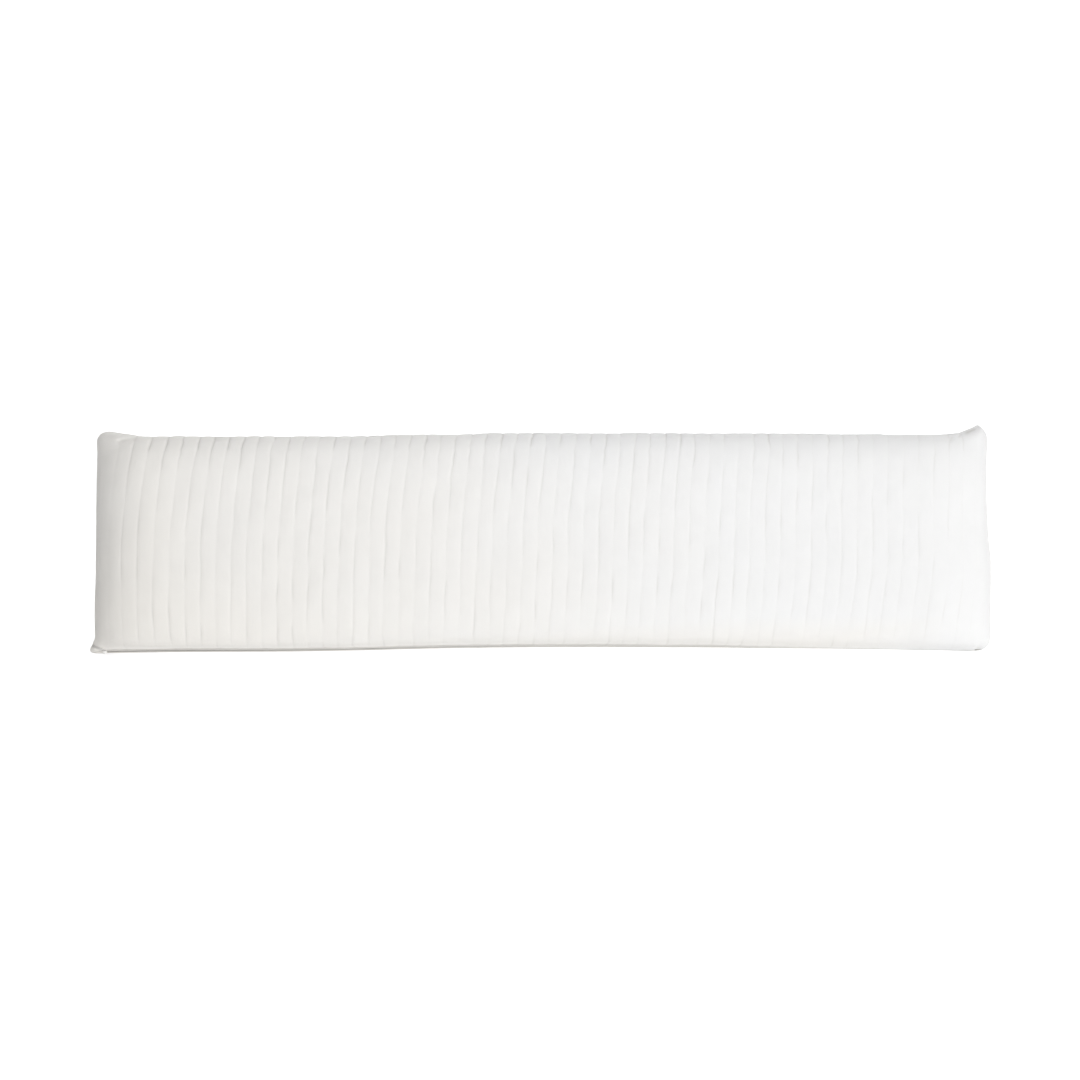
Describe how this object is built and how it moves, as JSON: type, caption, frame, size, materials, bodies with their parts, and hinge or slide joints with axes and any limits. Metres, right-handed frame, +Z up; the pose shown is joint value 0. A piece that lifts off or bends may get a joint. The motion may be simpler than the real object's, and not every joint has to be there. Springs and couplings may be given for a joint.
{
  "type": "body pillow",
  "caption": "Long rectangular foam body pillow in a quilted sleeve, with straight channels sewn across its length and a closed zip in one long side.",
  "frame": {"origin": "on the floor, under the middle of the pillow's outline with its corner ears", "axes": "+X along the pillow's length, +Y across it away from the zip, +Z up out of its face"},
  "size_m": [1.3807, 0.3512, 0.125],
  "materials": {
    "quilted_knit": "matte off-white knit, quilted",
    "zip_nylon": "satin nylon coil"
  },
  "bodies": {
    "root": {"pillow": "quilted_knit", "zip_coil": "zip_nylon"}
  },
  "joints": []
}
